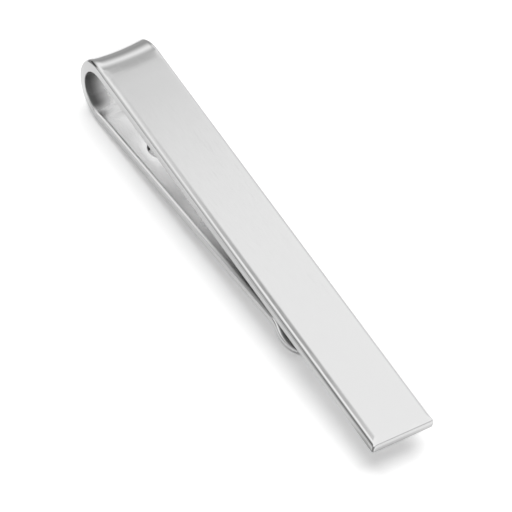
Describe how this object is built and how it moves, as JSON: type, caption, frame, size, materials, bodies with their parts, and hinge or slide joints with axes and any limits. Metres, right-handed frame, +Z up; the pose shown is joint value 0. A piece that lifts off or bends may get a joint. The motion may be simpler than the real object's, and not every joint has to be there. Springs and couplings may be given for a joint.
{
  "type": "tie clip",
  "caption": "Plain flat tie clip: a front bar folded at a round spring bow into a back leaf with a chain hole and a turned-down lip that lets the cloth slide in.",
  "frame": {"origin": "bottom centre of the clip's box, on the table that it lies on", "axes": "+X along the front bar to its free end, +Y across the strip, +Z up from the table; the clip rests on its bow and on the tip of its lip"},
  "size_m": [0.051, 0.0064, 0.0072],
  "materials": {
    "front_metal": "satin polish, even and nearly free of grain",
    "bow_metal": "bright polish on the outside of the bend, duller inside",
    "leaf_metal": "bright polish with fine cross grain"
  },
  "bodies": {
    "spring": {"spring_bow": "bow_metal", "back_leaf": "leaf_metal", "guide_lip": "leaf_metal"},
    "bar": {"front_bar": "front_metal"}
  },
  "joints": [
    {"name": "clip_opening", "type": "hinge", "parent": "spring", "child": "bar", "pos_m": [-0.02186, 0, 0.0036], "axis": [0, -1, 0], "range_deg": [0, 6], "stiffness_Nm_per_rad": 3, "springref_deg": -0.86, "deforming": ["spring_bow"]}
  ]
}
